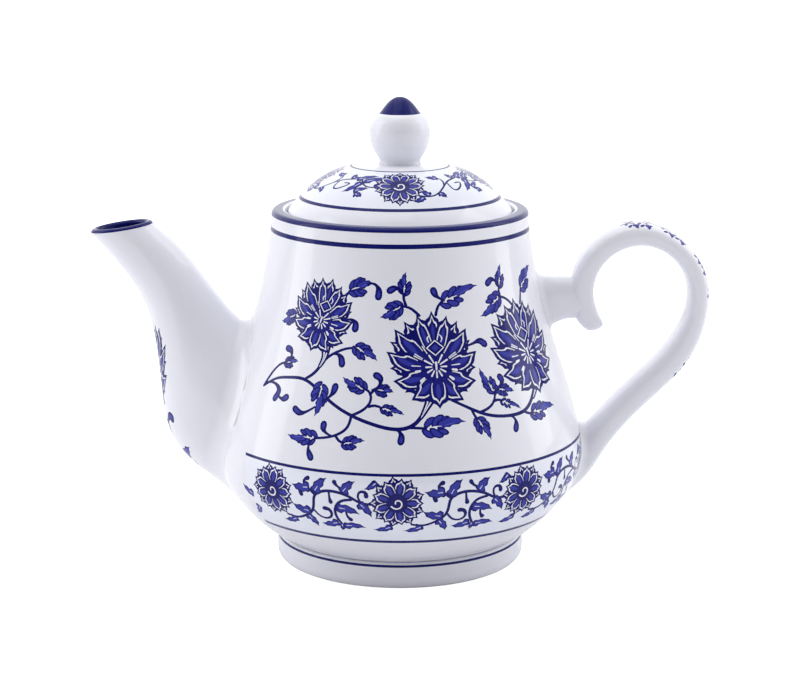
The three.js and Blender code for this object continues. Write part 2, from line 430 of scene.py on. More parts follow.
def clipped(outline, edge, side):
    """The part of an outline where u is above an edge, for side 1, or below it, for side -1."""
    made = []
    for a, b in zip(outline, np.roll(outline, -1, axis=0)):
        a_kept, b_kept = side * (a[0] - edge) >= 0, side * (b[0] - edge) >= 0
        if a_kept:
            made.append(a)
        if a_kept != b_kept:
            share = (edge - a[0]) / (b[0] - a[0])
            made.append(np.array([edge, a[1] + share * (b[1] - a[1])]))
    return np.array(made).reshape(-1, 2)


class Ink:
    """A printed pattern. Outlines are kept in the order they are painted, and the last one shows."""

    def __init__(self, surface):
        self.surface = surface
        self.shapes = []

    def fill(self, outline, tone):
        """Paints an outline. What runs over the sheet's seam goes on from the seam's other side."""
        outline = np.asarray(outline, float)
        x, y = outline.T
        area = 0.5 * np.sum(x * np.roll(y, -1) - np.roll(x, -1) * y)
        if abs(area) < SPECK:
            return
        outline = outline if area > 0 else outline[::-1]
        first, last = self.surface.u_range
        if x.min() >= first and x.max() <= last:
            self.shapes.append((outline, tone))
            return
        for turn in (first - last, 0, last - first):
            piece = clipped(clipped(outline + [turn, 0], first, 1), last, -1)
            if len(piece) > 2:
                self.shapes.append((piece, tone))

    def frame(self, at, turn=0.0):
        """A map from mm around a spot, turned by some degrees, to (u, v)."""
        c, s = polar(turn, 1)

        def place(points):
            a, b = np.asarray(points, float).T
            v = at[1] + s * a + c * b
            return np.column_stack([at[0] + (c * a - s * b) / self.surface.stretch(v), v])

        return place

    def ribbon(self, points, widths, tone, gap=0.9):
        """A line along (u, v) points, whose width runs through the given list, with round ends."""
        curve = Curve(points)
        count = max(5, round(curve.t[-1] / gap))
        share = np.linspace(0, 1, count)
        path = curve.at(share)
        half = np.interp(share, np.linspace(0, 1, len(widths)), widths) / 2
        k = self.surface.stretch(path[:, 1])
        run = np.gradient(path, axis=0) * np.column_stack([k, np.ones(count)])
        run /= np.linalg.norm(run, axis=1)[:, None]
        side = np.column_stack([-run[:, 1], run[:, 0]])

        def at(i, along, across):
            mm = run[i] * along * half[i] + side[i] * across * half[i]
            return path[i] + mm / [k[i], 1]

        left = [at(i, 0, 1) for i in range(count)]
        right = [at(i, 0, -1) for i in range(count)][::-1]
        far = [at(count - 1, 0.75, 0.65), at(count - 1, 1, 0), at(count - 1, 0.75, -0.65)]
        near = [at(0, -0.75, -0.65), at(0, -1, 0), at(0, -0.75, 0.65)]
        self.fill(left + far + right + near, tone)

    def blade(
        self, place, axis, half, shape, tone, inset=0.0, tip=2.0, base=1.0, count=9, start=0.0, other=None
    ):
        """A petal or leaf lobe along a curved axis, of a half-width profile, or of two, left and right.

        An inset draws it smaller: by that much at its sides, and by tip or base times as much at its ends. A
        start leaves out that share of it at its base.
        """
        spine = Curve(axis)
        length = spine.t[-1]
        first, end = inset * base / length, 1 - inset * tip / length
        if end - first < 0.08 or half <= inset:
            return
        along = np.linspace(start, 1, count)
        sides = []
        for profile, sign in ((shape, 1), (other or shape, -1)):
            share, width = profile.at(along).T
            share = first + np.clip(share, 0, 1) * (end - first)
            run = spine.at(np.minimum(share + 0.01, 1)) - spine.at(np.maximum(share - 0.01, 0))
            run /= np.linalg.norm(run, axis=1)[:, None]
            reach = sign * np.maximum(width, 0) * (half - inset)
            sides.append(spine.at(share) + np.column_stack([-run[:, 1], run[:, 0]]) * reach[:, None])
        outline = np.vstack([sides[0], sides[1][::-1]])
        keep = np.linalg.norm(outline - np.roll(outline, 1, axis=0), axis=1) > 0.02
        self.fill(place(outline[keep]), tone)

    def ring(self, v_from, v_to, tone, u_range=None):
        """A band of colour right round a sheet, or over part of it."""
        u = np.linspace(*(u_range or self.surface.u_range), self.surface.columns + 1)
        lower = np.column_stack([u, np.full(len(u), v_from)])
        upper = np.column_stack([u, np.full(len(u), v_to)])
        self.fill(np.vstack([lower, upper[::-1]]), tone)


# Half-width profiles, as (share of the length, share of the half-width).
PETAL = Curve([(0, 0.12), (0.3, 0.52), (0.6, 0.98), (0.74, 0.95), (0.87, 0.48), (1, 0)])
BACK = Curve([(0, 0.1), (0.25, 0.55), (0.5, 0.95), (0.72, 0.86), (0.88, 0.42), (1, 0)])
SHOULDER = Curve([(0, 0.1), (0.28, 0.5), (0.5, 0.98), (0.62, 1.06), (0.72, 0.7), (0.86, 0.36), (1, 0)])
LOBE = Curve([(0, 0), (0.06, 0.42), (0.3, 0.86), (0.6, 1), (0.86, 0.72), (0.97, 0.3), (1, 0)])
FROND = Curve([(0, 0.3), (0.1, 1.1), (0.2, 1.25), (0.3, 0.8), (0.42, 0.62), (0.56, 0.85), (0.7, 0.5), (1, 0)])
SAW = Curve([(0, 0.2), (0.14, 0.9), (0.24, 0.72), (0.4, 1), (0.5, 0.72), (0.64, 0.74), (0.8, 0.36), (1, 0)])


# ---- Pattern book ----


def petal(ink, place, angle, reach, half, line, gap, bend=0.0, core="deep", start=0.34):
    """One lotus petal: dark outline, white line round its outer part, and a dark fill with a blue core."""
    way = polar(angle, 1)
    left = -1 if way[0] < 0 else 1
    droop = bend * min(1, 1.6 * abs(way[0])) * min(1, 1.15 - max(0, way[1]))
    sag = np.array([way[1], -way[0]]) * left * droop * reach
    tip = way * reach
    axis = [tip * 0.03, tip * 0.5 + sag, tip]
    sides = {"shape": SHOULDER, "other": BACK} if left > 0 else {"shape": BACK, "other": SHOULDER}
    if not bend:
        sides = {"shape": PETAL}
    ink.blade(place, axis, half, tone="line", count=12, **sides)
    ink.blade(place, axis, half, tone="white", inset=line, tip=1.6, base=0, count=9, start=start, **sides)
    ink.blade(place, axis, half, tone="line", inset=line + gap, tip=1.75, base=0, count=10, **sides)
    if core:
        ink.blade(place, axis, half, tone=core, inset=line * 1.4 + gap, tip=2.1, base=0, count=9, **sides)
        glow = [tip * 0.4 + sag * 0.9, tip * 0.58 + sag * 0.9, tip * 0.76 + sag * 0.5]
        ink.blade(place, glow, (half - line * 1.4 - gap) * 0.5, LOBE, "mid", count=6)


# The big lotus, in shares of its radius: (angle, reach) of its petals and of the tips behind them.
LOTUS_LINE, LOTUS_GAP = 0.056, 0.024  # width of a petal's dark outline and of the white line in it
LOTUS_HEART = 0.76  # the dark disc under its petals
LOTUS_TIPS = [
    (123, 1.17), (150, 1.1), (181, 0.99), (217, 0.88), (319, 0.88), (355, 0.9), (33, 0.95), (61, 1.08),
]
LOTUS_PETALS = [
    (92, 1.19), (75, 1.11), (108, 1.17), (47, 1.05), (136, 1.17), (16, 0.97), (162, 1.09), (338, 0.95),
    (197, 0.98), (307, 0.93), (230, 0.9), (271, 0.89),
]
# White strokes that point away from its middle: (angles, start, end, width).
LOTUS_STROKES = [
    ((28, 33, 57, 122, 147, 152, 3, 176), 0.34, 0.52, 0.026),
    ((348, 192, 322, 220), 0.36, 0.45, 0.06),
    ((120, 150), 0.1, 0.28, 0.04),
    (range(180, 361, 30), 0.1, 0.22, 0.04),
    ((390, 420), 0.1, 0.28, 0.04),
    ((90,), -0.06, 0.09, 0.05),
]
LOTUS_HORN = [(0.1, 0.68), (0.16, 0.6), (0.13, 0.52)]  # a curved stroke on either side of its top petal
LOTUS_EYE = [(0.24, "line"), (0.2, "white"), (0.165, "line"), (0.09, "mid")]  # half-widths of the lozenges


def lotus(ink, at, radius, turn=0.0):
    """The big open lotus of the main frieze: a ring of petals, a lozenge eye and a star of stamens."""
    place = ink.frame(at, turn)
    line, gap = LOTUS_LINE * radius, LOTUS_GAP * radius
    ink.fill(place(circle(12) * LOTUS_HEART * radius), "line")
    for angle, reach in LOTUS_TIPS:
        petal(ink, place, angle, reach * radius, 0.17 * radius, line, gap, core=None, start=0.62)
    for angle, reach in LOTUS_PETALS:
        upright = math.sin(math.radians(angle)) > 0.9
        half = (0.17 if upright else 0.215) * radius
        bend = 0.0 if upright or angle == 271 else 0.12
        petal(ink, place, angle, reach * radius, half, line, gap, bend)
    for angles, start, end, width in LOTUS_STROKES:
        for angle in angles:
            dash(ink, place, angle, start * radius, end * radius, width * radius)
    for side in (-1, 1):
        points = place(np.array(LOTUS_HORN) * [side, 1] * radius)
        ink.ribbon(points, [0.015 * radius, 0.035 * radius, 0.015 * radius], "white")
    eye = ink.frame(place([[0, 0.4 * radius]])[0], turn)
    for size, tone in LOTUS_EYE:
        lozenge = [(size, 0), (size * 0.3, size * 0.6), (0, size * 0.85), (-size * 0.3, size * 0.6)]
        ink.fill(eye(np.array(lozenge + [(-x, -y) for x, y in lozenge]) * radius), tone)


def dash(ink, place, angle, start, end, width):
    """A short straight white stroke that points away from a flower's middle."""
    points = [polar(angle, reach) for reach in (start, (start + end) / 2, end)]
    ink.ribbon(place(points), [width * 0.7, width], "white", gap=0.8)


def rosette(ink, at, radius, petals=9):
    """The small lotus of the borders: pointed petals with tips between them and a curled eye."""
    place = ink.frame(at)
    step = 360 / petals
    line, gap = 0.055 * radius, 0.03 * radius
    ink.fill(place(circle(18) * radius * 0.66), "deep")
    for k in range(petals):
        half = 1.8 / petals * radius
        petal(ink, place, step * (k + 0.5), radius * 1.03, half, line, gap, core=None, start=0.56)
    for k in range(petals):
        half = 2.1 / petals * radius
        petal(ink, place, step * k, radius * 0.95, half, line, gap, core=None)
        bud = [polar(step * k, share * radius) for share in (0.36, 0.54, 0.74)]
        ink.blade(place, bud, 0.7 / petals * radius, LOBE, "mid", count=6)
    ink.fill(place(circle(18) * radius * 0.24), "line")
    turns = np.radians(np.linspace(-150, 190, 9))
    coil = np.linspace(0.24, 0.06, 9) * radius
    swirl = place(np.column_stack([coil * np.cos(turns), coil * np.sin(turns)]))
    ink.ribbon(swirl, [0.06 * radius, 0.05 * radius], "white", gap=0.5)


def leaf_frame(ink, base, tip):
    """A map from mm along a leaf from its base, and to its left, to (u, v), with the leaf's length."""
    mm = (np.array(tip, float) - base) * [ink.surface.stretch(np.array([base[1]]))[0], 1]
    return ink.frame(base, math.degrees(math.atan2(mm[1], mm[0]))), np.linalg.norm(mm)


def small_leaf(ink, base, tip, half):
    """A border's leaf: one saw-edged blade with a blue core and a pale rib."""
    place, length = leaf_frame(ink, base, tip)
    spine = [(0, 0), (0.5 * length, 0.07 * length), (length, 0)]
    ink.blade(place, spine, half, SAW, "line", count=12, other=FROND)
    ink.blade(place, spine, half, SAW, "mid", inset=0.5, tip=2.0, count=9, other=FROND)
    rib = [(0.14 * length, 0.02 * length), (0.36 * length, 0.05 * length)]
    ink.ribbon(place(rib), [0.3, 0.15], "white")


def leaf(ink, base, tip, half, pairs=3):
    """A lobed leaf: pairs of forward lobes up a pale rib, and a long saw-edged lobe at its tip."""
    place, length = leaf_frame(ink, base, tip)
    line = 0.46
    half = 0.9 * half
    lobes = []
    for i in range(pairs):
        share = -0.02 + 0.36 * i / max(pairs - 1, 1)
        size = half * (1.0, 1.1, 0.9)[min(i, 2)]
        for side in (1, -1):
            root = np.array([(share + 0.03 * side) * length, 0])
            end = root + np.array([size * 1.3, side * size * 0.92])
            bow = (root + end) / 2 + np.array([-0.1 * size, side * 0.16 * size])
            lobes.append((root, bow, end, size * 0.4, LOBE))
    point = np.array([(0.3 * length, 0), (0.66 * length, 0.07 * length), (length, 0)])
    lobes.append((*point, half * 0.56, SAW))
    for root, bow, end, wide, shape in lobes:
        ink.blade(place, [root, bow, end], wide, shape, "line", count=9)
        ink.blade(place, [root, bow, end], wide, shape, "mid", inset=line, tip=1.3, base=1.6, count=7)
    if length > 5:
        rib = [(0.1 * length, 0), (0.24 * length, 0.1), (0.4 * length, 0)]
        vein = [(0.5 * length, 0.04), (0.62 * length, 0.3), (0.74 * length, 0.3)]
        ink.ribbon(place(rib), [0.2, 0.42, 0.2], "white")
        ink.ribbon(place(vein), [0.2, 0.3, 0.15], "light")


def drop(ink, points, half=1.5):
    """A hooked tendril that ends in a round bud."""
    ink.ribbon(points, [0.75, 0.8, 1.1, 2 * half, 2.2 * half], "line", gap=0.6)
    path = Curve(points).at([0.7, 0.84, 0.98])
    ink.ribbon(path, [0.2, 2 * half - 1.3, 2.2 * half - 1.3], "mid", gap=0.5)


# ---- Clay pieces ----


def welded_points(points):
    """Points that share a square of the grid made one. A second grid joins pairs that the first one parts."""
    place, same = points, np.arange(len(points))
    for shift in (0.371, 0.871):
        keys = np.floor(place / WELD + shift).astype(np.int64)
        _, first, merged = np.unique(keys, axis=0, return_index=True, return_inverse=True)
        place, same = place[first], merged.reshape(-1)[same]
    return place, same


def whole_faces(faces):
    """Which triangles still have three corners after welding, and don't lie back to back with another."""
    ordered = np.sort(faces, axis=1)
    _, twin, times = np.unique(ordered, axis=0, return_inverse=True, return_counts=True)
    apart = (ordered[:, 0] != ordered[:, 1]) & (ordered[:, 1] != ordered[:, 2])
    return apart & (times[twin.reshape(-1)] == 1)


class Clay:
    """One watertight clay piece, made of sheets that are welded where their points meet."""

    def __init__(self):
        self.points, self.normals, self.faces, self.tones = [], [], [], []
        self.count = 0

    def add(self, points, normals, faces, tones):
        self.points.append(points)
        self.normals.append(normals)
        self.faces.append(np.asarray(faces) + self.count)
        self.tones.append(np.asarray(tones))
        self.count += len(points)

    def sheet(self, surface, rows, shapes=()):
        """Cuts a surface into triangles along its rows and printed outlines, and leaves out tone "hole"."""
        points = [spot for v in rows for spot in row_spots(surface, v, surface.columns + 1)]
        uv, triangles, owners = triangulated(points, [outline for outline, _ in shapes])
        tones, faces = [], []
        for face, printed in zip(triangles, owners):
            tone = shapes[max(printed)][1] if printed else "white"
            if tone != "hole":
                faces.append(face)
                tones.append(TONE_NAMES.index(tone))
        self.add(*surface.at(uv), faces, tones)

    def bridge(self, loop_a, loop_b):
        """The wall of a hole, or a cut end, between two closed loops with the same number of points."""
        count = len(loop_a)
        a, b = np.asarray(loop_a), np.asarray(loop_b)
        after = (np.arange(count) + 1) % count
        flat = np.cross(a[after] - a, b - a)
        flat /= np.maximum(np.linalg.norm(flat, axis=1), 1e-9)[:, None]
        ring = flat + flat[np.arange(count) - 1]
        ring /= np.maximum(np.linalg.norm(ring, axis=1), 1e-9)[:, None]
        i = np.arange(count)
        near = np.column_stack([i, after, i + count])
        far = np.column_stack([after, after + count, i + count])
        self.add(np.vstack([a, b]), np.vstack([ring, ring]), np.vstack([near, far]), [WHITE] * (2 * count))

    def cap(self, loop):
        """A flat fan over a closed loop."""
        loop = np.asarray(loop)
        count = len(loop)
        middle = loop.mean(axis=0)
        normal = np.cross(loop[0] - middle, loop[count // 4] - middle)
        normal = np.tile(normal / np.linalg.norm(normal), (count + 1, 1))
        faces = [(count, i, (i + 1) % count) for i in range(count)]
        self.add(np.vstack([loop, middle]), normal, faces, [WHITE] * count)

    def piece(self, name, node, slot, body):
        """Welds the sheets into a mesh object that stands for a CAD node."""
        faces, tones = np.vstack(self.faces), np.concatenate(self.tones)
        points, same = welded_points(np.vstack(self.points))
        welded = same[faces]
        whole = whole_faces(welded)
        faces, tones, welded = faces[whole], tones[whole], welded[whole]
        corners = points[welded]
        if np.sum(corners[:, 0] * np.cross(corners[:, 1], corners[:, 2])) < 0:
            raise ValueError(name + " is inside out")
        mesh = bpy.data.meshes.new(name)
        mesh.from_pydata((points * MM).tolist(), [], welded.tolist())
        for tone in TONE_NAMES:
            mesh.materials.append(GLAZES[tone])
        mesh.polygons.foreach_set("material_index", tones.astype(np.int32))
        mesh.polygons.foreach_set("use_smooth", np.ones(len(tones), dtype=bool))
        mesh.normals_split_custom_set(np.vstack(self.normals)[faces].reshape(-1, 3).tolist())
        made = bpy.data.objects.new(name, mesh)
        bpy.context.scene.collection.objects.link(made)
        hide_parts(node)
        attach(made, body)


def row_spots(surface, v, count):
    """The first (u, v) spots of a mesh row."""
    first, last = surface.u_range
    return [(first + (last - first) * i / surface.columns, v) for i in range(count)]


def edge_loop(surface, v):
    """The points of a mesh row, as a closed loop without the repeated seam point."""
    return surface.at(np.array(row_spots(surface, v, surface.columns)))[0]


def triangulated(points, outlines):
    """Triangles through points and along outlines, with the numbers of the outlines around each one."""
    points = list(points)
    loops = []
    for outline in outlines:
        loops.append(list(range(len(points), len(points) + len(outline))))
        points.extend(map(tuple, outline))
    result = delaunay_2d_cdt([Vector(p) for p in points], [], loops, 0, 1e-5, True)
    return np.array([tuple(p) for p in result[0]]), result[2], result[5]


# ---- Materials ----


def glaze(name, roughness=(0.05, 0.11), ripple=0.00002):
    """A clear wet-looking glaze over one tone, with slight differences in gloss and a faint ripple.

    A blue tone shines less than a pale one.
    """
    made = bpy.data.materials.new("glaze_" + name)
    made.use_nodes = True
    nodes, links = made.node_tree.nodes, made.node_tree.links
    shader = nodes["Principled BSDF"]
    shader.inputs["Base Color"].default_value = (*TONES[name], 1)
    shader.inputs["Specular IOR Level"].default_value = 0.2 if max(TONES[name]) < 0.5 else 0.5
    where = nodes.new("ShaderNodeTexCoord")
    drift = nodes.new("ShaderNodeTexNoise")
    drift.inputs["Scale"].default_value = 45
    drift.inputs["Detail"].default_value = 3
    spread = nodes.new("ShaderNodeMapRange")
    spread.inputs["To Min"].default_value, spread.inputs["To Max"].default_value = roughness
    links.new(where.outputs["Object"], drift.inputs["Vector"])
    links.new(drift.outputs["Fac"], spread.inputs["Value"])
    links.new(spread.outputs["Result"], shader.inputs["Roughness"])
    swell = nodes.new("ShaderNodeTexNoise")
    swell.inputs["Scale"].default_value = 125
    swell.inputs["Detail"].default_value = 1
    bump = nodes.new("ShaderNodeBump")
    bump.inputs["Strength"].default_value = 0.5
    bump.inputs["Distance"].default_value = ripple
    links.new(where.outputs["Object"], swell.inputs["Vector"])
    links.new(swell.outputs["Fac"], bump.inputs["Height"])
    links.new(bump.outputs["Normal"], shader.inputs["Normal"])
    return made


GLAZES = {name: glaze(name) for name in TONES if name != "clay"}
GLAZES["clay"] = glaze("clay", roughness=(0.7, 0.9), ripple=0.0001)


# ---- Pot ----

POT_OUTSIDE = [
    (BELLY_START, STEP_TOP), (45.9, 11.2), (50.6, 14.4), (56.6, 20), (61.9, 26.5), (65.5, 33.5), (66.9, 41),
    (65.9, 49), (63.6, 58), (59.9, 70), (54.9, 85), (50.7, 100), (47.8, 115), (46.4, 127), (46.3, RIM_TOP),
]
POT_FLOOR = [(60.6, 31), (54, 21.5), (44, 14.6), (24, 11.2), (0, 10.5)]


def pot_surface():
    """The pot's whole skin: underside, step on the foot, belly, rim, recess, ledge and inside."""
    belly = smooth(POT_OUTSIDE, 200)
    wall = [(np.interp(z, belly[:, 1], belly[:, 0]) - WALL, z) for z in (108, 92, 76, 60, 48, 40)]
    inside = smooth([(THROAT, LEDGE - 2.1), (43, 118.5), *wall, *POT_FLOOR], 160)
    return Pot(
        [
            ([(0, POT_UNDER), (STEP_RADIUS - 0.1, POT_UNDER)], 0.3),
            ([(STEP_RADIUS - 0.1, POT_UNDER), (STEP_RADIUS + 0.1, STEP_TOP)], 0.3),
            ([(STEP_RADIUS + 0.1, STEP_TOP), (BELLY_START - 0.4, STEP_TOP)], 0),
            ([(BELLY_START - 0.4, STEP_TOP), (BELLY_START, STEP_TOP)], 0.2),
            (belly, 1.6),
            ([belly[-1], (GALLERY, RIM_TOP)], 1.0),
            ([(GALLERY, RIM_TOP), (GALLERY, LEDGE)], 0.5),
            ([(GALLERY, LEDGE), (THROAT, LEDGE)], 0.6),
            ([(THROAT, LEDGE), (THROAT, LEDGE - 2.1)], 0.5),
            (inside, 0),
        ]
    )


# The main spray, read from the spout to the handle. Spots are (bearing, height in mm). A lotus is (spot,
# radius, turn), a leaf [base, tip, half-width], and all the other pieces are lines of spots.
LOTUSES = [((-31.9, 97), 12.8, -14), ((12.9, 83), 16.2, 0), ((53.8, 83.2), 17, 4)]
CALYXES = [
    [(-29.6, 81.8), (-28.2, 85), (-28.4, 89.6)],
    [(6.8, 66.8), (8.6, 69.8), (11, 74.4)],
    [(50.4, 68.6), (53.6, 72.4), (56, 77)],
]
VINES = [
    [(-53.5, 72), (-47, 75.7), (-42, 76.7), (-35, 77), (-29, 74.4), (-22.5, 70.3), (-15.8, 67),
     (-8.6, 64.5), (-3, 63.2), (1, 63.2), (4.5, 64.6), (7.2, 67.6), (10.5, 73)],
    [(16, 72.6), (20, 70.5), (24, 68.4), (29.4, 66), (35, 64.8), (40.2, 64.5), (45.4, 65.4), (49.8, 68.8),
     (53.5, 73.5)],
    [(-35, 77), (-31.7, 79.2), (-29.2, 82.5), (-28.2, 86.5)],
]
TWIGS = [
    [(-29.2, 82.5), (-26.6, 85.3), (-23.2, 87.3), (-19.7, 88.6), (-16.2, 89)],
    [(-23, 105.5), (-20, 107.6), (-17, 109.4)],
    [(-15.8, 67), (-11.4, 69.6), (-9.7, 72.4), (-10.4, 75), (-12.3, 76)],
    [(-10, 74.2), (-8.8, 75.4), (-7.4, 75.9)],
    [(-10.2, 70.2), (-8.4, 70.6), (-6, 69.9)],
    [(-15.8, 67), (-16.9, 63), (-19.7, 60.6), (-22.7, 59.4), (-27.4, 58.5)],
    [(-20.4, 60), (-18.8, 58.3), (-17.4, 57.9)],
    [(-53.5, 72), (-49.2, 78.8), (-46.5, 80.8), (-44.5, 81.3)],
    [(7.4, 100), (3.7, 102.6), (0.4, 103.3)],
    [(2.3, 103.4), (1.4, 106.2), (1.5, 108.4)],
    [(13.9, 100), (15, 102.8), (17.3, 104.8)],
    [(51.3, 99.4), (47.4, 102.6), (43.2, 104.1)],
    [(44, 104), (43.8, 106), (44.4, 108)],
    [(56, 100), (57.6, 103.4), (58.6, 106)],
    [(26.8, 67.1), (31, 68.6), (32.9, 70.6), (33.6, 73.2)],
    [(32.4, 70), (34.2, 70.3), (36, 69.8)],
    [(33.4, 72), (34.4, 73.2), (35.6, 73.8)],
    [(23.9, 68.4), (24.6, 66.4), (26, 64.4)],
    [(44.5, 64.8), (46.6, 63.8), (49, 63.6)],
    [(2.8, 63.6), (5.6, 63.4), (8.2, 63.2)],
]
LEAVES = [
    [(-16.8, 89.6), (-7.8, 85), 2.7],
    [(-20.6, 108), (-10.6, 110.8), 3.1],
    [(-11.8, 75.4), (-20, 79.4), 2.7],
    [(-8, 75.8), (-2, 75), 2.2],
    [(-6, 69.9), (1.6, 67.6), 1.9],
    [(-27, 58.5), (-37.8, 58.4), 2.8],
    [(-18, 57.6), (-10.8, 59), 2.4],
    [(-45.4, 81.2), (-39, 82.4), 2.1],
    [(-44.6, 97.6), (-52.4, 94.4), 2.6],
    [(0.9, 103.3), (-8, 99.4), 2.9],
    [(1.5, 107), (2.5, 114.8), 2.3],
    [(16.6, 104.2), (32.8, 108.8), 3.2],
    [(44, 104.2), (32.3, 98.2), 3.0],
    [(44.2, 107), (46.6, 115), 2.2],
    [(58.4, 105), (70.6, 111.4), 3.3],
    [(33.6, 72.6), (29.2, 81.6), 2.5],
    [(35, 73.8), (42, 72), 2.2],
    [(35.6, 69.8), (43.6, 65.8), 1.6],
    [(25.4, 65.4), (29.6, 57.6), 2.6],
    [(47.6, 63.8), (61.5, 63.5), 3.1],
    [(7.6, 63.2), (21.4, 64.6), 3.6],
    [(-27.4, 76.4), (-28.8, 65.4), 3.2],
]
DROPS = [
    [(-26.6, 85.3), (-23.8, 86.6), (-21.6, 85.4), (-21, 83.4)],
    [(-21.7, 97.6), (-19, 98.2), (-17.2, 97), (-17.2, 95.2)],
    [(-13, 110.4), (-10.2, 110.4), (-8.6, 108.8), (-8.6, 106.2)],
    [(-9.4, 75.6), (-7, 77.2), (-6.8, 79.4), (-8.2, 80.4)],
    [(-26.4, 70.8), (-24.2, 72.4), (-22.8, 74.4), (-22.4, 76)],
    [(-28.9, 68.6), (-31.6, 66.8), (-34.2, 66), (-36.4, 67)],
    [(-28.4, 57.6), (-29.2, 55.6), (-28.9, 53.8), (-28, 52)],
    [(-21.6, 59.8), (-23.6, 60.6), (-24.8, 62), (-24.8, 63.4)],
    [(-3, 63.2), (-0.6, 62.6), (0.4, 61), (0.2, 59)],
    [(-44.6, 81.6), (-42.8, 83.4), (-43.4, 85.4), (-45.4, 86)],
    [(-53, 73), (-48, 73.8), (-45.2, 72), (-46.2, 69)],
    [(-45.6, 70.6), (-44, 69.6), (-42.4, 69.4), (-41, 70.2)],
    [(1.6, 106.4), (0.6, 108), (-1.6, 109.2), (-4, 108.4)],
    [(24.6, 88.9), (28.3, 89.8), (31, 90.2), (32.8, 89)],
    [(17.6, 104.6), (15.6, 105.6), (14, 107), (13.4, 108.2)],
    [(44, 107), (42.4, 109.4), (40, 110), (38.2, 109)],
    [(34.2, 73.4), (36.6, 75), (37.4, 76.4), (36.8, 77.6)],
    [(37.6, 64.6), (39.4, 63.6), (40, 61.8), (39.4, 59.8)],
]


def main_spray(ink, pot, turned):
    """The lotus spray on one face of the pot, at its bearings plus some degrees."""

    def spots(points):
        return pot.spot([b + turned for b, _ in points], [z for _, z in points], Pot.BELLY)

    for points in VINES:
        ink.ribbon(spots(points), [0.9, 1.15, 1.15, 1.3, 1.5], "line")
    for points in TWIGS:
        ink.ribbon(spots(points), [1.05, 0.85], "line")
    for base, tip, half in LEAVES:
        leaf(ink, *spots([base, tip]), half)
    for points in DROPS:
        drop(ink, spots(points), 1.15)
    for points in CALYXES:
        calyx(ink, spots(points))
    for at, radius, turn in LOTUSES:
        lotus(ink, spots([at])[0], radius, turn)


def calyx(ink, points):
    """The swollen end of the stem under a flower, dark with a pale core."""
    ink.ribbon(points, [1.5, 2.6, 4.6], "line")
    ink.ribbon(points, [0.2, 1.1, 2.6], "white")
    ink.ribbon(points, [0.0, 0.2, 1.3], "deep")


# The border's repeating unit, from one rosette to the next: (mm to the right of the rosette, mm above it).
BORDER_REACH = 47.8
BORDER_VINES = [
    [(4.9, -8.7), (9, -9.2), (13.1, -7.6), (16.5, -5), (17.8, -1.5), (18.6, 1.2), (21.5, 2.9), (27.1, 3.1),
     (31.4, 1.8), (35.1, -0.1), (40.5, -0.5)],
    [(18.3, 1.6), (16, 3.3), (13.4, 4)],
    [(32, 0.8), (28.1, -0.1), (26, -2.3), (25.3, -5.9), (26.3, -9.6)],
    [(28.5, 2.9), (28.8, 4.4), (29.2, 5.6)],
    [(44.6, -6.4), (43.1, -9.4), (40.5, -10.6)],
    [(6.6, -8.8), (7.4, -10), (6.6, -10.8)],
]
BORDER_CURLS = [
    [(17.4, -4.8), (19.2, -7), (22, -7.4), (23.8, -5.6), (23, -3.6), (21.6, -3.4)],
    [(14.6, 4), (14.2, 5.8), (15.7, 6.9)],
    [(13.6, 3.7), (12.4, 2.4), (13.2, 0.9)],
    [(24, 2.9), (24.1, 0.9), (24.4, -0.6)],
    [(29.4, -4.1), (29.4, -5.8), (30.2, -7.2)],
    [(35.2, 0), (34.4, 2), (35.2, 3.8), (37, 3.6), (37.3, 2.4)],
    [(43, 3.4), (41.4, 6.4), (39.8, 7.2), (38.8, 6)],
    [(28.4, 4.6), (26.8, 5.4), (25.8, 6.6)],
]
BORDER_LEAVES = [
    [(16.6, 3.7), (9.2, 4), 1.9],
    [(18.2, 2.2), (22.9, 7.8), 2.0],
    [(28.6, 3), (33.2, 7.4), 1.9],
    [(26.1, -2.5), (34.2, -4.8), 1.8],
    [(25.4, -9), (18.4, -10.2), 1.7],
    [(26.6, -10.3), (34.6, -10.7), 1.6],
    [(34.5, -0.2), (38, -5.8), 1.7],
    [(15.8, -5.6), (8.6, -3.2), 1.9],
    [(14, -6.9), (16.4, -12.4), 1.7],
    [(43.8, -9.8), (36.6, -11.4), 1.5],
    [(8.8, -9.8), (2, -11.8), 1.5],
    [(40.8, 7.4), (36.4, 4.8), 1.2],
    [(26.2, -9.4), (25, -13), 1.2],
]


def border_unit(ink, place, stretch, runs, leaves):
    """Lines and leaves that fill the space to the next rosette. Each run is (lines, widths, gap)."""

    def spots(points):
        return place(np.array(points, float) * [stretch, 1])

    for lines, widths, gap in runs:
        for points in lines:
            ink.ribbon(spots(points), widths, "line", gap=gap)
    for base, tip, half in leaves:
        small_leaf(ink, *spots([base, tip]), half)


UPPER_RING, RIM_BLUE = 123.1, 128.1  # heights of the ring under the rim, and of the rim's blue edge
BORDER = {"low": 22.1, "high": 48.0, "middle": 38.2, "radius": 9.6, "gap": (-125, -55)}
BORDER_RUNS = [(BORDER_VINES, [0.95, 1.1, 0.95], 0.9), (BORDER_CURLS, [0.85, 0.8, 1.0, 1.7], 0.7)]
BORDER_FLOWERS = [-221.8, -180.8, -139.8, -41.8, -0.8, 40.2, 81.2]  # bearings
BORDER_UNITS = [-262.8, -221.8, -180.8, -41.8, -0.8, 40.2]
BORDER_STEP = 41.0  # degrees from one rosette to the next
# Leaves where the border stops: (bearing, height, length, turn).
BORDER_ENDS = [(-51.4, 34, 6.4, 150), (-50.6, 30, 6, 230), (-128.4, 42, 6, 30)]


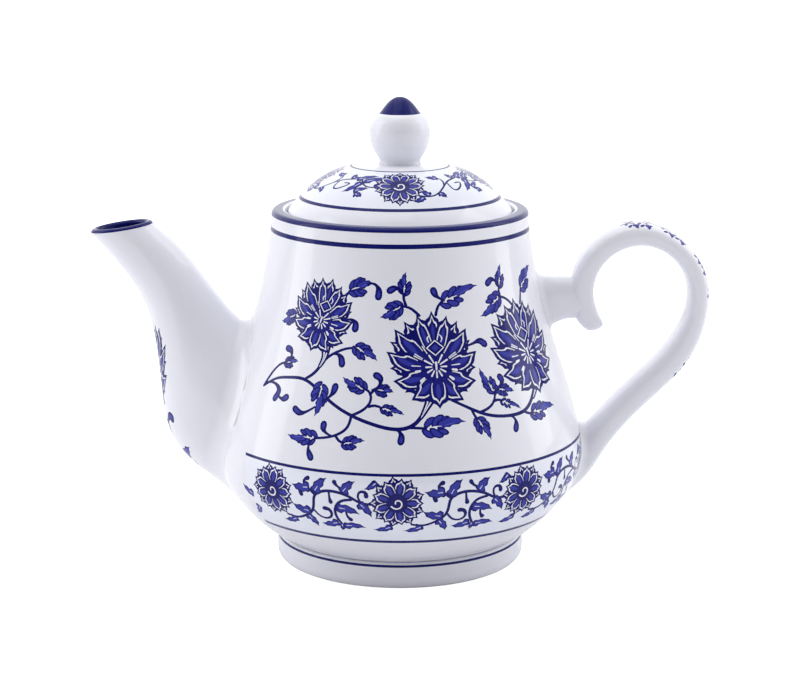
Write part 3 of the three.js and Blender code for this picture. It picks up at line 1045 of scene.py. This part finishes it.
def border_print(ink, pot):
    """The belly's border of rosettes and scrolls, which stops on either side of the spout."""
    low_v, high_v = pot.v_at([BORDER["low"], BORDER["high"]], Pot.BELLY)
    first, last = (math.radians(b) * SPREAD for b in BORDER["gap"])
    for u_range in ((pot.u_range[0], first), (last, pot.u_range[1])):
        ink.ring(low_v, high_v, "film", u_range)
        for v, thick in ((low_v, 1.6), (high_v, 1.0)):
            ink.ring(v - thick / 2, v + thick / 2, "ring", u_range)
    stretch = math.radians(BORDER_STEP) * pot.outside(BORDER["middle"]) / BORDER_REACH
    for bearing in BORDER_UNITS:
        at = pot.spot(bearing, BORDER["middle"], Pot.BELLY)[0]
        border_unit(ink, ink.frame(at), stretch, BORDER_RUNS, BORDER_LEAVES)
    for bearing in BORDER_FLOWERS:
        rosette(ink, pot.spot(bearing, BORDER["middle"], Pot.BELLY)[0], BORDER["radius"])
    for bearing, height, length, turn in BORDER_ENDS:
        base = pot.spot(bearing, height, Pot.BELLY)[0]
        small_leaf(ink, base, base + polar(turn, length), 1.6)


def pot_print(pot):
    """Rings, the border round the belly, and the lotus spray on the front and on the back."""
    ink = Ink(pot)
    upper = pot.v_at(UPPER_RING, Pot.BELLY)
    ink.ring(upper - 0.8, upper + 0.8, "ring")
    ink.ring(pot.v_at(RIM_BLUE, Pot.BELLY), pot.spans[Pot.BELLY + 1][1], "ring")
    border_print(ink, pot)
    main_spray(ink, pot, 0)
    main_spray(ink, pot, -180)
    return ink


def strainer_loops(pot):
    """Where the hole behind the spout cuts the outside and the inside of the wall, as (u, v) loops."""
    across, up = STRAINER["radius"] * circle(10).T
    height = STRAINER["height"] + up * math.cos(STRAINER["tilt"])
    loops = []
    for span in (Pot.BELLY, len(pot.spans) - 1):
        v = pot.v_at(height, span)
        bearing = -math.pi / 2 + np.arcsin(across / pot.radius(v))
        loops.append(np.column_stack([bearing * SPREAD, v]))
    return loops


def build_pot(pot):
    clay = Clay()
    ink = pot_print(pot)
    outer, inner = strainer_loops(pot)
    ink.fill(outer, "hole")
    ink.fill(inner, "hole")
    clay.sheet(pot, pot.rows([pot.spans[Pot.BELLY]]), ink.shapes)
    clay.bridge(pot.at(outer)[0], pot.at(inner)[0])
    clay.piece("pot_body", "pot_wall", "decorated_glaze", "pot")


def build_foot():
    """The ring under the pot: glazed, with a blue line, and bare clay where it stands on the table."""
    foot = Turned(
        [
            ([(FOOT_TREAD, 0), (FOOT_REACH - 0.1, 0)], 3.4),
            ([(FOOT_REACH - 0.1, 0), (FOOT_REACH, 6), (FOOT_REACH - 0.4, FOOT_TOP)], 1.2),
            ([(FOOT_REACH - 0.4, FOOT_TOP), (FOOT_INNER, FOOT_TOP)], 0.4),
            ([(FOOT_INNER, FOOT_TOP), (FOOT_INNER + 0.2, 1.4)], 0.6),
            ([(FOOT_INNER + 0.2, 1.4), (FOOT_TREAD, 0)], 0.5),
        ],
        closed=True,
    )
    ink = Ink(foot)
    line = foot.v_at(FOOT_LINE, 1)
    ink.ring(line - 0.45, line + 0.45, "ring")
    ink.ring(foot.spans[0][0] + 0.2, foot.spans[0][1] - 0.1, "clay")
    clay = Clay()
    clay.sheet(foot, foot.rows(foot.spans[:2]), ink.shapes)
    clay.piece("pot_foot", "foot_ring", "foot_glaze", "pot")


def strainer_face(uv, radius, offset, facing):
    """Points and normals of one face of the strainer's dome, over a flat disc of a radius at an offset."""
    bulge = STRAINER["bulge"]
    share = np.clip(np.round(np.hypot(*uv.T) / radius, 5), 0, 1)
    points = np.column_stack([uv, offset - bulge * np.sqrt(np.maximum(1 - share**2, 0))])
    rise = bulge / radius**2 / np.sqrt(1 - np.minimum(share, 0.97) ** 2)
    normals = np.column_stack([-uv * rise[:, None], np.ones(len(uv))]) * facing
    normals /= np.linalg.norm(normals, axis=1)[:, None]
    return towards_spout(points), towards_spout(normals, turn_only=True)


def towards_spout(points, turn_only=False):
    """Points about +Z, turned to face out through the wall behind the spout."""
    lean = -math.pi / 2 + STRAINER["tilt"]
    c, s = math.cos(lean), math.sin(lean)
    turned = points @ np.array([[c, 0, -s], [0, 1, 0], [s, 0, c]])
    return turned if turn_only else turned + [-POT.outside(STRAINER["height"]), 0, STRAINER["height"]]


def build_strainer():
    """The dome of holes that keeps leaves out of the spout, with its rim in the wall's hole."""
    rim = STRAINER["radius"] + 0.1
    edge = rim - STRAINER["thick"]
    front, back = -STRAINER["sunk"], -STRAINER["sunk"] - STRAINER["thick"]
    holes = [
        polar(360 * k / count, ring) + STRAINER_HOLE * circle(30)
        for ring, count in STRAINER_RINGS
        for k in range(count)
    ]
    points = [(0.0, 0.0)] + [tuple(spot) for r in (2.4, 5.6, 9.6) for spot in circle(20) * r]
    uv, triangles, owners = triangulated(points, [circle(10) * edge, *holes])
    solid = [face for face, inside in zip(triangles, owners) if inside == [0]]
    clay = Clay()
    clay.add(*strainer_face(uv, edge, front, 1), solid, [WHITE] * len(solid))
    clay.add(*strainer_face(uv, edge, back, -1), [face[::-1] for face in solid], [WHITE] * len(solid))
    for hole in holes:
        clay.bridge(strainer_face(hole, edge, front, 1)[0], strainer_face(hole, edge, back, 1)[0])
    # The rim: out from the back face, along the wall's hole and back to the front face.
    lip = [(edge, back), (rim, -STRAINER["rim"]), (rim, 0.0), (edge, 0.0), (edge, front)]
    loops = [towards_spout(np.column_stack([circle(10) * r, np.full(36, z)])) for r, z in lip]
    for a, b in zip(loops[:-1], loops[1:]):
        clay.bridge(a, b)
    clay.piece("pot_strainer", "strainer", "plain_glaze", "pot")


# ---- Spout ----

SPOUT_TOP_EDGE = [(-89.8, 124.3), (-79.6, 115), (-71.3, 104.4), (-63.2, 93.6), (-54.5, 85.8), (-43, 82.4)]
SPOUT_UNDER_EDGE = [
    (SPOUT_TIP - 0.6, 121.5), (-98.2, 104.6), (-90.2, 87), (-87.2, 62), (-78.6, 38), (-44, 14),
]
SPOUT_HALF_WIDTH = [9.6, 10.2, 12.2, 15.8, 20.6, 25]
# Tendrils on either side of the spout's print: (mm to the side, share of the way up), and half a bud's width.
SPOUT_HOOKS = [
    ([(0, 0.19), (5, 0.235), (9.6, 0.25), (11.4, 0.225)], 1.2),
    ([(0, 0.24), (3.6, 0.27), (6, 0.25), (5.6, 0.225)], 1.0),
]


class Tube:
    """The spout's whole skin: up the outside, over the lip and down the channel inside."""

    def __init__(self, outer, inner, lip):
        self.outer, self.inner, self.lip = outer, inner, lip
        self.u_range, self.columns = outer.u_range, outer.columns
        self.over = math.pi * lip
        self.length = outer.length + self.over + inner.length
        a, b = outer.section(np.array([0.0, math.pi]), np.array([0.0, 0.0]))
        level = (b - a) / np.linalg.norm(b - a)
        self.out = np.array([-level[2], 0, level[0]])

    def stretch(self, v):
        return self.outer.stretch(self.outer.length - np.atleast_1d(v))

    def skin(self, uv):
        u, v = uv.T
        end = self.outer.length
        outer_v = np.clip(end - v, 0, end)
        inner_v = np.clip(v - end - self.over, 0, self.inner.length)
        outer = self.outer.filleted(np.column_stack([u, outer_v]))
        inner = self.inner.trimmed(np.column_stack([u * self.inner.mean / self.outer.mean, inner_v]))
        turn = np.clip((v - end) / self.lip, 0, math.pi)
        middle, half = (outer + inner) / 2, (outer - inner) / 2
        reach = np.linalg.norm(half, axis=1)
        arc = middle + half * np.cos(turn)[:, None] + self.out * (reach * np.sin(turn))[:, None]
        made = np.where((v <= end)[:, None], outer, inner)
        return np.where(((v > end) & (v < end + self.over))[:, None], arc, made)

    def at(self, uv):
        return self.skin(uv), normals_of(self.skin, uv)


def build_spout(pot):
    lip = SPOUT_WALL / 2
    shape = (SPOUT_UNDER_EDGE, SPOUT_TOP_EDGE, SPOUT_HALF_WIDTH, 2, pot)
    outer = Bar(*shape, fillet=5.5, start=lip, backwards=True)
    inner = Bar(*shape, fillet=0, inset=SPOUT_WALL, start=lip, backwards=True)
    tube = Tube(outer, inner, lip)
    end = outer.length
    rows = [end - v for v in reversed(outer.rows())]
    rows += [end + tube.over * k / 6 for k in range(1, 7)]
    rows += [end + tube.over + v for v in np.linspace(0, inner.length, 24)[1:]]
    ink = Ink(tube)
    ink.ring(end + 0.2, end + tube.over + 7, "ring")
    spout_print(ink, tube, end)
    clay = Clay()
    clay.sheet(tube, rows, ink.shapes)
    clay.bridge(edge_loop(tube, tube.length), edge_loop(tube, 0.0))
    clay.piece("pot_spout", "spout", "decorated_glaze", "pot")


def spout_print(ink, tube, end):
    """A big lotus on a leafy stem, down the spout's outer face."""
    stem = [(-4, 0.06), (2, 0.13), (-1.6, 0.2), (-0.4, 0.3)]
    ink.ribbon([(x, end * share) for x, share in stem], [0.9, 1.1, 1.4], "line")
    leaf(ink, (1.4, end * 0.13), (11.5, end * 0.12), 2.9)
    leaf(ink, (-1.2, end * 0.19), (-11, end * 0.2), 2.9)
    leaf(ink, (-3, end * 0.08), (-11.5, end * 0.08), 2.4)
    for side in (-1, 1):
        for hook, half in SPOUT_HOOKS:
            drop(ink, [(side * x, end * share) for x, share in hook], half)
    lotus(ink, (0.0, end * 0.42), 14.6)
    tip = [(0, end * 0.58), (0.8, end * 0.62), (-0.4, end * 0.66)]
    ink.ribbon(tip, [1.0, 0.7], "line")
    leaf(ink, (-0.4, end * 0.62), (-8, end * 0.65), 2.0)
    leaf(ink, (0.4, end * 0.64), (6, end * 0.7), 1.9)


# ---- Handle ----

SCROLL_OUTER = [
    (69, 83.2), (63, 90.4), (61.7, 101), (65.2, 111.8), (73.8, 120.7), (86.4, 124.3), (99.6, 119.6),
    (109.4, 108.6), (HANDLE_BACK, 95), (108.2, 79.6), (99.4, 66.8), (87.2, 54.8), (75.4, 40.6), (65.6, 27),
    (44, 13),
]
SCROLL_INNER = [
    (75, 86), (71.9, 91.4), (70.3, 99.4), (72.6, 107.6), (79, 113.7), (87.4, 115.8), (96, 113),
    (102.4, 105.8), (104.3, 96.4), (101.2, 85.6), (92.6, 74), (81.4, 63.2), (71.6, 52.6), (62.4, 46.8),
    (44, 44),
]
SCROLL_HALF_WIDTH = [3.6, 5.6, 6.8, 7.6, 7.9, 8, 8, 8, 8, 8, 7.9, 7.8, 8, 8.6, 9.6]


def build_handle(pot):
    scroll = Bar(SCROLL_OUTER, SCROLL_INNER, SCROLL_HALF_WIDTH, 3.0, pot, fillet=3.0, tip=4.6)
    ink = Ink(scroll)
    handle_print(ink, scroll.length)
    clay = Clay()
    clay.sheet(scroll, scroll.rows(), ink.shapes)
    clay.cap(edge_loop(scroll, scroll.length))
    clay.piece("pot_handle", "handle_scroll", "decorated_glaze", "pot")


HANDLE_PRINT = [(0.33, 0.6), (0.68, 0.76)]
HANDLE_LEAF_STEP = 6.6


def handle_print(ink, length):
    """A leafy scroll along the handle's outer face, in two runs given as shares of its length."""
    step = HANDLE_LEAF_STEP
    for start, end in HANDLE_PRINT:
        for k in range(round((end - start) * length / step)):
            base = length * start + step * k
            side = 1 if k % 2 else -1
            stem = [(-1.3 * side, base), (0, base + 0.5 * step), (1.3 * side, base + step)]
            ink.ribbon(stem, [0.8, 0.95, 0.8], "line")
            leaf(ink, (0.9 * side, base + 0.6), (7 * side, base + 4.8), 2.0, pairs=2)
            leaf(ink, (-0.9 * side, base + 2.4), (-6.8 * side, base + 7), 1.9, pairs=2)


BRACKET_TOP = [(66.5, 104.4), (62, 104.2), (58, 104.3), (52, 104.6), (44, 106)]
BRACKET_UNDER = [(66.5, 89), (63, 88.9), (59.4, 88.4), (54, 86.3), (44, 83)]
BRACKET_HALF_WIDTH = [6.2, 6.1, 6.1, 6.5, 7.6]


def build_bracket(pot):
    bar = Bar(BRACKET_TOP, BRACKET_UNDER, BRACKET_HALF_WIDTH, 2.6, pot, fillet=2.4, gap=1.6)
    clay = Clay()
    clay.sheet(bar, bar.rows())
    clay.cap(edge_loop(bar, 0.0)[::-1])
    clay.cap(edge_loop(bar, bar.length))
    clay.piece("pot_bracket", "handle_bracket", "plain_glaze", "pot")


# ---- Lid ----

DOME = [
    (DOME_EDGE, 128.6), (39, 130.6), (35.6, 134.3), (31.2, 138.5), (25, 142.3), (17.8, 144.7),
    (12.4, DOME_TOP - 0.05), (10, DOME_TOP),
]
DOME_INSIDE = [(5, 142), (13, 141.4), (22, 138.8), (29, 134.8), (33, 130), (33.6, DOME_UNDER)]
DOME_TOP_FACE, DOME_UNDER_FACE = 2, 5  # numbers of the stretches in the lid's outline
LID_BORDER = {"radius": 27.4, "flower": 9.3, "units": 4, "outer": 36, "inner": 17.6}


def lid_surface():
    """The lid's skin: its underside's edge, the dome, the bore under the knob and the inside."""
    dome = smooth(DOME, 120)
    return Turned(
        [
            ([(33.6, DOME_UNDER), (DOME_EDGE - 0.2, DOME_UNDER)], 0.6),
            ([(DOME_EDGE - 0.2, DOME_UNDER), dome[0]], 0.6),
            (dome, 0),
            ([dome[-1], (BORE, DOME_TOP)], 0.5),
            ([(BORE, DOME_TOP), (BORE, 142)], 0.5),
            (smooth(DOME_INSIDE, 60), 0.5),
        ],
        closed=True,
    )


def lid_print(lid):
    """Two rings with a border of lotuses and scrolls between them."""
    ink = Ink(lid)
    radii = [LID_BORDER[name] for name in ("outer", "inner", "radius")]
    outer, inner, middle = lid.v_where(0, radii, DOME_TOP_FACE)
    ink.ring(outer, inner, "film")
    ink.ring(outer - 0.65, outer + 0.65, "ring")
    ink.ring(inner - 0.42, inner + 0.42, "ring")
    step = 360 / LID_BORDER["units"]
    spots = [(math.radians(-270 + step * k) * SPREAD, middle) for k in range(LID_BORDER["units"])]
    stretch = math.radians(step) * LID_BORDER["radius"] / LID_REACH
    for at in spots:
        border_unit(ink, ink.frame(at), stretch, LID_RUNS, LID_LEAVES)
    for at in spots:
        rosette(ink, at, LID_BORDER["flower"], petals=10)
    return ink


# The lid border's repeating unit: (mm further round than its rosette, mm above it).
LID_REACH = 42.0
LID_VINES = [
    [(5, -4.4), (9, -5.4), (13, -4.6), (15.4, -1.6), (17.4, 1.4), (21, 3), (25, 2.6), (28.6, 0.4), (33, -1),
     (37, -0.6)],
    [(15.8, -0.8), (15.2, 2.4), (13, 4.4)],
    [(17, 1), (19, -2.2), (22.6, -2.6), (23.2, 0), (20.8, 0.2)],
    [(28, 0.8), (29.4, -3), (32.2, -5)],
]
LID_LEAVES = [
    [(13.4, 4.2), (8.6, 5.6), 1.5],
    [(22, 3), (26, 6), 1.5],
    [(10.4, -5.2), (7.4, -1.6), 1.4],
    [(13.6, -4), (17, -6.6), 1.4],
    [(31.6, -4.6), (36, -6), 1.4],
    [(26.4, 2), (31.4, 4.8), 1.5],
    [(26.4, 1.6), (24.6, -4.6), 1.4],
    [(8.4, -5.6), (4.4, -7.6), 1.3],
    [(34, -0.8), (37.6, 3.4), 1.5],
    [(20.4, 3.2), (16.8, 6.6), 1.4],
    [(29.6, -3.4), (33.4, -1.8), 1.2],
]
LID_RUNS = [(LID_VINES, [0.6, 0.7, 0.6], 0.8)]


def vent_loops(lid):
    """Where the steam hole cuts the dome's top and underside, as (u, v) loops."""
    x, y = (VENT["radius"] * circle(30) + [0, VENT["behind"]]).T
    u = (-math.pi - np.arctan2(x, y)) * SPREAD
    faces = (DOME_TOP_FACE, DOME_UNDER_FACE)
    return [np.column_stack([u, lid.v_where(0, np.hypot(x, y), face)]) for face in faces]


def build_lid():
    lid = lid_surface()
    ink = lid_print(lid)
    top, under = vent_loops(lid)
    ink.fill(top, "hole")
    ink.fill(under, "hole")
    clay = Clay()
    clay.sheet(lid, lid.rows([lid.spans[DOME_TOP_FACE]]), ink.shapes)
    clay.bridge(lid.at(top)[0], lid.at(under)[0])
    clay.piece("lid_cover", "lid_dome", "decorated_glaze", "lid")


def build_flange():
    inner = FLANGE_REACH - FLANGE_WALL
    top = DOME_UNDER + 0.4
    flange = Turned(
        [
            ([(inner, FLANGE_LOW), (FLANGE_REACH, FLANGE_LOW)], 0.8),
            ([(FLANGE_REACH, FLANGE_LOW), (FLANGE_REACH, top)], 0.2),
            ([(FLANGE_REACH, top), (inner, top)], 0.2),
            ([(inner, top), (inner, FLANGE_LOW)], 0.8),
        ],
        closed=True,
    )
    clay = Clay()
    clay.sheet(flange, flange.rows([]))
    clay.piece("lid_skirt", "lid_flange", "plain_glaze", "lid")


# The knob, as (radius, height over its base).
KNOB_SIDE = [(7.6, 0), (7.4, 1.1), (8.3, 3), (10.2, 6.8), (10.9, 11), (10.4, 14.8), (8.6, 17.4), (7.3, 18.2)]
KNOB_TIP = [(7.3, 18.2), (5.4, 20.7), (3.3, 22.8), (1.2, 23.85), (0, 24)]
KNOB_HOLLOW = [(0, 16.6), (4.6, 15), (7, 10.8), (6.2, 5.2), (BORE, 0)]
MARK_DEPTH, MARK_TURN = 0.02, 3.1  # throwing marks: their depth, and radians of their wave to a mm of height


def build_knob():
    """The hollow knob, with faint throwing marks round its side and a blue tip."""
    base = DOME_TOP - 0.1
    scale = (KNOB_TOP - base) / KNOB_TIP[-1][1]

    def raised(points):
        return [(r, base + h * scale) for r, h in points]

    side = smooth(raised(KNOB_SIDE), 90)
    fade = np.sin(np.linspace(0, math.pi, len(side) - 2))
    side[1:-1, 0] += MARK_DEPTH * np.sin(side[1:-1, 1] * MARK_TURN) * fade
    knob = Turned(
        [
            ([(BORE, base), side[0]], 0.2),
            (side, 0.25),
            (smooth(raised(KNOB_TIP), 40), 0),
            ([(0, KNOB_TOP), (0, base + KNOB_HOLLOW[0][1] * scale)], 0),
            (smooth(raised(KNOB_HOLLOW), 40), 0),
        ],
        closed=True,
        gap=0.5,
    )
    ink = Ink(knob)
    ink.ring(*knob.spans[2], "ring")
    clay = Clay()
    clay.sheet(knob, knob.rows(knob.spans[1:3]), ink.shapes)
    clay.piece("lid_finial", "lid_knob", "decorated_glaze", "lid")


# ---- Studio ----

CAMERA = {"away": 800.0, "lift": 12.3, "aim": 80.2, "lens": 98.64, "sensor": 36.0}
LIGHTS_AIM = (0, 0, 0.07)  # in m
FLOOR_HALF = 6.0  # in m


def add_camera():
    """The photo's camera: straight in front of the pot and a little above it."""
    data = bpy.data.cameras.new("camera")
    data.lens, data.sensor_width = CAMERA["lens"], CAMERA["sensor"]
    data.sensor_fit = "HORIZONTAL"
    made = bpy.data.objects.new("camera", data)
    bpy.context.scene.collection.objects.link(made)
    lift = math.radians(CAMERA["lift"])
    back, up = CAMERA["away"] * math.cos(lift), CAMERA["aim"] + CAMERA["away"] * math.sin(lift)
    made.location = (0, -back * MM, up * MM)
    aim = Vector((0, 0, CAMERA["aim"] * MM)) - made.location
    made.rotation_euler = aim.to_track_quat("-Z", "Y").to_euler()
    bpy.context.scene.camera = made


def softbox(name, at, size, power):
    """A rectangular light at a place in m, aimed at the pot."""
    data = bpy.data.lights.new(name, "AREA")
    data.shape = "RECTANGLE"
    data.size, data.size_y = size
    data.energy = power
    made = bpy.data.objects.new(name, data)
    bpy.context.scene.collection.objects.link(made)
    made.location = at
    made.rotation_euler = (Vector(LIGHTS_AIM) - made.location).to_track_quat("-Z", "Y").to_euler()


def to_camera_only(nodes, links, plain, lit):
    """A value that is plain for the camera's own rays, so that paper shows white, and lit for all others."""
    path = nodes.new("ShaderNodeLightPath")
    mix = nodes.new("ShaderNodeMix")
    mix.inputs["B"].default_value = plain
    links.new(path.outputs["Is Camera Ray"], mix.inputs["Factor"])
    if isinstance(lit, float):
        mix.inputs["A"].default_value = lit
    else:
        links.new(lit, mix.inputs["A"])
    return mix.outputs["Result"]


def add_floor():
    """A sheet of white paper, 12 m wide, that shows as the backdrop's white."""
    corners = [(x * FLOOR_HALF, y * FLOOR_HALF, 0) for x, y in ((-1, -1), (1, -1), (1, 1), (-1, 1))]
    mesh = bpy.data.meshes.new("floor")
    mesh.from_pydata(corners, [], [(0, 1, 2, 3)])
    made = bpy.data.objects.new("floor", mesh)
    paper = bpy.data.materials.new("paper")
    paper.use_nodes = True
    nodes, links = paper.node_tree.nodes, paper.node_tree.links
    shader = nodes["Principled BSDF"]
    shader.inputs["Base Color"].default_value = (0.9, 0.9, 0.91, 1)
    shader.inputs["Specular IOR Level"].default_value = 0
    shader.inputs["Emission Color"].default_value = (1, 1, 1, 1)
    links.new(to_camera_only(nodes, links, 0.9, 0.0), shader.inputs["Emission Strength"])
    grain = nodes.new("ShaderNodeTexNoise")
    grain.inputs["Scale"].default_value = 400
    rough = nodes.new("ShaderNodeMapRange")
    rough.inputs["To Min"].default_value, rough.inputs["To Max"].default_value = 0.85, 1.0
    links.new(grain.outputs["Fac"], rough.inputs["Value"])
    links.new(rough.outputs["Result"], shader.inputs["Roughness"])
    mesh.materials.append(paper)
    bpy.context.scene.collection.objects.link(made)


def add_world():
    """A white tent: bright behind and beside the pot, dimmer behind the camera."""
    world = bpy.data.worlds.new("tent")
    world.use_nodes = True
    bpy.context.scene.world = world
    nodes, links = world.node_tree.nodes, world.node_tree.links
    backdrop = nodes["Background"]
    where = nodes.new("ShaderNodeTexCoord")
    split = nodes.new("ShaderNodeSeparateXYZ")
    dim = nodes.new("ShaderNodeMapRange")
    dim.inputs["From Min"].default_value, dim.inputs["From Max"].default_value = -1.0, 0.1
    dim.inputs["To Min"].default_value, dim.inputs["To Max"].default_value = 0.1, 1.35
    links.new(where.outputs["Generated"], split.inputs["Vector"])
    links.new(split.outputs["Y"], dim.inputs["Value"])
    links.new(to_camera_only(nodes, links, 1.05, dim.outputs["Result"]), backdrop.inputs["Strength"])
    backdrop.inputs["Color"].default_value = (1, 1, 1, 1)


# ---- Assembly ----

POT = pot_surface()
build_pot(POT)
build_foot()
build_strainer()
build_spout(POT)
build_handle(POT)
build_bracket(POT)
build_lid()
build_flange()
build_knob()

add_camera()
add_floor()
add_world()
softbox("left_box", (-1.2, 0.0, 0.5), (0.5, 1.2), 3.0)
softbox("right_box", (1.1, 0.2, 0.6), (0.5, 1.2), 2.4)
softbox("top_box", (-0.2, 0.0, 1.3), (1.0, 0.8), 2.0)
bpy.context.scene.view_settings.view_transform = "Standard"
